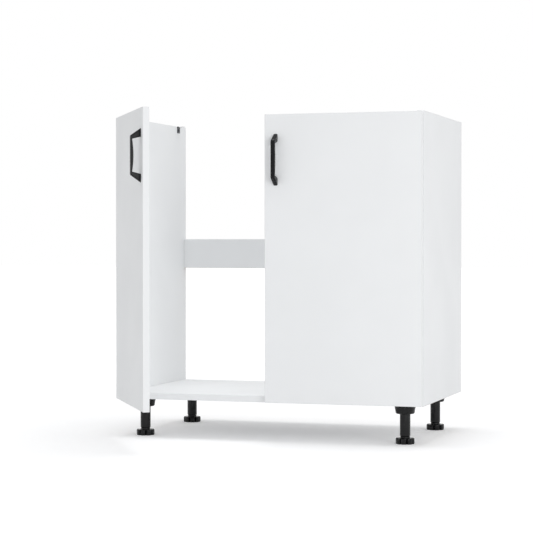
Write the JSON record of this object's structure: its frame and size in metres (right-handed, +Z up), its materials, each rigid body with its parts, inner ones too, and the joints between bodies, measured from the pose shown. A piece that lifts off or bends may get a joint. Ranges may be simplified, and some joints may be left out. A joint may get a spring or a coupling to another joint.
{
  "type": "sink base cabinet",
  "caption": "Open-topped base cabinet on adjustable legs with a rear rail instead of a back, and hinged doors with bow handles; one door stands open.",
  "frame": {"origin": "on the floor, under the middle of the bounding box of the whole object with the left door open", "axes": "+Z up; -Y out of the doors, towards the user; +X to the right as the user faces the doors"},
  "size_m": [0.8, 0.8104, 0.817],
  "materials": {
    "white_board": "white melamine-faced board, satin",
    "black_handle": "black, satin",
    "dark_steel": "dark grey steel",
    "black_plastic": "black plastic, low sheen",
    "plated_steel": "nickel-plated steel",
    "cast_zinc": "cast zinc, dull",
    "clear_rubber": "clear soft plastic"
  },
  "bodies": {
    "carcass": {"side_panel_left": "white_board", "side_panel_right": "white_board", "bottom_panel": "white_board", "rear_rail": "white_board", "worktop_bracket_left": "dark_steel", "worktop_bracket_right": "dark_steel", "bottom_cam_left_front": "cast_zinc", "bottom_bolt_left_front": "plated_steel", "bottom_cam_left_rear": "cast_zinc", "bottom_bolt_left_rear": "plated_steel", "rail_cam_left": "cast_zinc", "rail_bolt_left": "plated_steel", "leg_socket_left_front": "black_plastic", "leg_tube_left_front": "black_plastic", "leg_socket_left_rear": "black_plastic", "leg_tube_left_rear": "black_plastic", "hinge_plate_left_lower": "plated_steel", "hinge_arm_left_lower": "plated_steel", "hinge_plate_left_upper": "plated_steel", "hinge_arm_left_upper": "plated_steel", "bottom_cam_right_front": "cast_zinc", "bottom_bolt_right_front": "plated_steel", "bottom_cam_right_rear": "cast_zinc", "bottom_bolt_right_rear": "plated_steel", "rail_cam_right": "cast_zinc", "rail_bolt_right": "plated_steel", "leg_socket_right_front": "black_plastic", "leg_tube_right_front": "black_plastic", "leg_socket_right_rear": "black_plastic", "leg_tube_right_rear": "black_plastic", "hinge_plate_right_lower": "plated_steel", "hinge_arm_right_lower": "plated_steel", "hinge_plate_right_upper": "plated_steel", "hinge_arm_right_upper": "plated_steel"},
    "left_outer_links": {"hinge_outer_link_left_lower": "plated_steel", "hinge_outer_link_left_upper": "plated_steel"},
    "left_door_set": {"left_door": "white_board", "left_handle": "black_handle", "left_door_bumper": "clear_rubber", "left_handle_screw_lower": "plated_steel", "left_handle_screw_upper": "plated_steel", "hinge_cup_left_lower": "plated_steel", "hinge_cup_left_upper": "plated_steel"},
    "left_inner_links": {"hinge_inner_link_left_lower": "plated_steel", "hinge_inner_link_left_upper": "plated_steel"},
    "right_outer_links": {"hinge_outer_link_right_lower": "plated_steel", "hinge_outer_link_right_upper": "plated_steel"},
    "right_door_set": {"right_door": "white_board", "right_handle": "black_handle", "right_door_bumper": "clear_rubber", "right_handle_screw_lower": "plated_steel", "right_handle_screw_upper": "plated_steel", "hinge_cup_right_lower": "plated_steel", "hinge_cup_right_upper": "plated_steel"},
    "right_inner_links": {"hinge_inner_link_right_lower": "plated_steel", "hinge_inner_link_right_upper": "plated_steel"},
    "foot_left_front": {"leg_foot_left_front": "black_plastic"},
    "foot_left_rear": {"leg_foot_left_rear": "black_plastic"},
    "foot_right_front": {"leg_foot_right_front": "black_plastic"},
    "foot_right_rear": {"leg_foot_right_rear": "black_plastic"}
  },
  "joints": [
    {"name": "left_outer_link_turn", "type": "hinge", "parent": "carcass", "child": "left_outer_links", "pos_m": [-0.362, -0.04552, 0.456], "axis": [0, 0, -1], "range_deg": [-6.75, 11.12]},
    {"name": "left_door_swing", "type": "hinge", "parent": "left_outer_links", "child": "left_door_set", "pos_m": [-0.38544, -0.06837, 0.456], "axis": [0, 0, -1], "range_deg": [-69.61, 42.24]},
    {"name": "left_inner_link_turn", "type": "hinge", "parent": "left_door_set", "child": "left_inner_links", "pos_m": [-0.38962, -0.07035, 0.456], "axis": [0, 0, -1], "range_deg": [-39.76, 65.52]},
    {"name": "right_outer_link_turn", "type": "hinge", "parent": "carcass", "child": "right_outer_links", "pos_m": [0.362, -0.04552, 0.456], "axis": [0, 0, 1], "range_deg": [-17.86, 0]},
    {"name": "right_door_swing", "type": "hinge", "parent": "right_outer_links", "child": "right_door_set", "pos_m": [0.3894, -0.06342, 0.456], "axis": [0, 0, 1], "range_deg": [0, 111.86]},
    {"name": "right_inner_link_turn", "type": "hinge", "parent": "right_door_set", "child": "right_inner_links", "pos_m": [0.3899, -0.06802, 0.456], "axis": [0, 0, 1], "range_deg": [-105.28, 0]},
    {"name": "foot_left_front_height", "type": "slide", "parent": "carcass", "child": "foot_left_front", "axis": [0, 0, -1], "range_m": [0, 0.02]},
    {"name": "foot_left_rear_height", "type": "slide", "parent": "carcass", "child": "foot_left_rear", "axis": [0, 0, -1], "range_m": [0, 0.02]},
    {"name": "foot_right_front_height", "type": "slide", "parent": "carcass", "child": "foot_right_front", "axis": [0, 0, -1], "range_m": [0, 0.02]},
    {"name": "foot_right_rear_height", "type": "slide", "parent": "carcass", "child": "foot_right_rear", "axis": [0, 0, -1], "range_m": [0, 0.02]}
  ],
  "couplings": [
    {"joint": "left_outer_link_turn", "follows": "left_door_swing", "ratio": -0.15966},
    {"joint": "left_inner_link_turn", "follows": "left_door_swing", "ratio": -0.94118},
    {"joint": "right_outer_link_turn", "follows": "right_door_swing", "ratio": -0.15966},
    {"joint": "right_inner_link_turn", "follows": "right_door_swing", "ratio": -0.94118}
  ]
}
